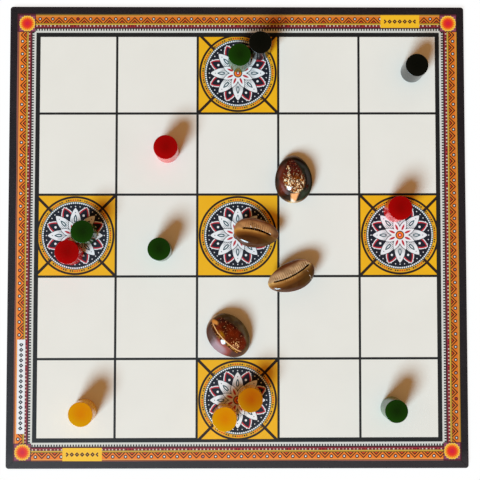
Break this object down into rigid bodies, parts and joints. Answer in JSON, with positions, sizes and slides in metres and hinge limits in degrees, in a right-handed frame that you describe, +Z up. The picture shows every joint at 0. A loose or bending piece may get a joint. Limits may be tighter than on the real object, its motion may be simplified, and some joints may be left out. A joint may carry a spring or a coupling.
{
  "type": "chowka bara board game",
  "caption": "Nearly square board with a printed grid of squares, wrapped in a dark cover, with turned pawns and cowrie shells lying on it.",
  "frame": {"origin": "centre of the board's underside, on the table", "axes": "+X towards the board's right edge, +Y towards its far edge, +Z up"},
  "size_m": [0.3038, 0.3066, 0.0231],
  "materials": {
    "board_core": "pressed grey board",
    "board_cover": "grained black book cloth",
    "printed_sheet": "printed and laminated, satin",
    "pawn_black": "gloss lacquer",
    "pawn_green": "gloss lacquer",
    "pawn_red": "gloss lacquer",
    "pawn_yellow": "gloss lacquer",
    "cowrie_back": "polished natural shell, speckled",
    "cowrie_base": "polished natural shell"
  },
  "bodies": {
    "board": {"board_core": "board_core", "board_cover": "board_cover", "printed_sheet": "printed_sheet"},
    "black_pawn_1": {"pawn_black_1": "pawn_black"},
    "black_pawn_2": {"pawn_black_2": "pawn_black"},
    "green_pawn_1": {"pawn_green_1": "pawn_green"},
    "green_pawn_2": {"pawn_green_2": "pawn_green"},
    "green_pawn_3": {"pawn_green_3": "pawn_green"},
    "green_pawn_4": {"pawn_green_4": "pawn_green"},
    "red_pawn_1": {"pawn_red_1": "pawn_red"},
    "red_pawn_2": {"pawn_red_2": "pawn_red"},
    "red_pawn_3": {"pawn_red_3": "pawn_red"},
    "yellow_pawn_1": {"pawn_yellow_1": "pawn_yellow"},
    "yellow_pawn_2": {"pawn_yellow_2": "pawn_yellow"},
    "yellow_pawn_3": {"pawn_yellow_3": "pawn_yellow"},
    "shell_1": {"cowrie_1": "cowrie_back"},
    "shell_2": {"cowrie_2": "cowrie_base"},
    "shell_3": {"cowrie_3": "cowrie_base"},
    "shell_4": {"cowrie_4": "cowrie_back"}
  },
  "joints": [
    {"name": "black_1_move", "type": "slide", "parent": "board", "child": "black_pawn_1", "axis": [-1, 0, 0], "range_m": [0, 0.0538]},
    {"name": "black_2_move", "type": "slide", "parent": "board", "child": "black_pawn_2", "axis": [1, 0, 0], "range_m": [0, 0.032]},
    {"name": "green_1_move", "type": "slide", "parent": "board", "child": "green_pawn_1", "axis": [-1, 0, 0], "range_m": [0, 0.0538]},
    {"name": "green_2_move", "type": "slide", "parent": "board", "child": "green_pawn_2", "axis": [1, 0, 0], "range_m": [0, 0.033]},
    {"name": "green_3_move", "type": "slide", "parent": "board", "child": "green_pawn_3", "axis": [0, 1, 0], "range_m": [0, 0.049]},
    {"name": "green_4_move", "type": "slide", "parent": "board", "child": "green_pawn_4", "axis": [0, 1, 0], "range_m": [0, 0.0543]},
    {"name": "red_1_move", "type": "slide", "parent": "board", "child": "red_pawn_1", "axis": [1, 0, 0], "range_m": [0, 0.0538]},
    {"name": "red_2_move", "type": "slide", "parent": "board", "child": "red_pawn_2", "axis": [0, -1, 0], "range_m": [0, 0.0543]},
    {"name": "red_3_move", "type": "slide", "parent": "board", "child": "red_pawn_3", "axis": [0, 1, 0], "range_m": [0, 0.0543]},
    {"name": "yellow_1_move", "type": "slide", "parent": "board", "child": "yellow_pawn_1", "axis": [1, 0, 0], "range_m": [0, 0.0538]},
    {"name": "yellow_2_move", "type": "slide", "parent": "board", "child": "yellow_pawn_2", "axis": [1, 0, 0], "range_m": [0, 0.0538]},
    {"name": "yellow_3_move", "type": "slide", "parent": "board", "child": "yellow_pawn_3", "axis": [0, 1, 0], "range_m": [0, 0.027]},
    {"name": "shell_1_lift", "type": "slide", "parent": "board", "child": "shell_1", "axis": [0, 0, 1], "range_m": [0, 0.06]},
    {"name": "shell_2_spin", "type": "hinge", "parent": "board", "child": "shell_2", "pos_m": [0.012, 0.0003, 0], "axis": [0, 0, 1], "continuous": true},
    {"name": "shell_3_spin", "type": "hinge", "parent": "board", "child": "shell_3", "pos_m": [0.03536, -0.02852, 0], "axis": [0, 0, 1], "continuous": true},
    {"name": "shell_4_lift", "type": "slide", "parent": "board", "child": "shell_4", "axis": [0, 0, 1], "range_m": [0, 0.06]}
  ]
}
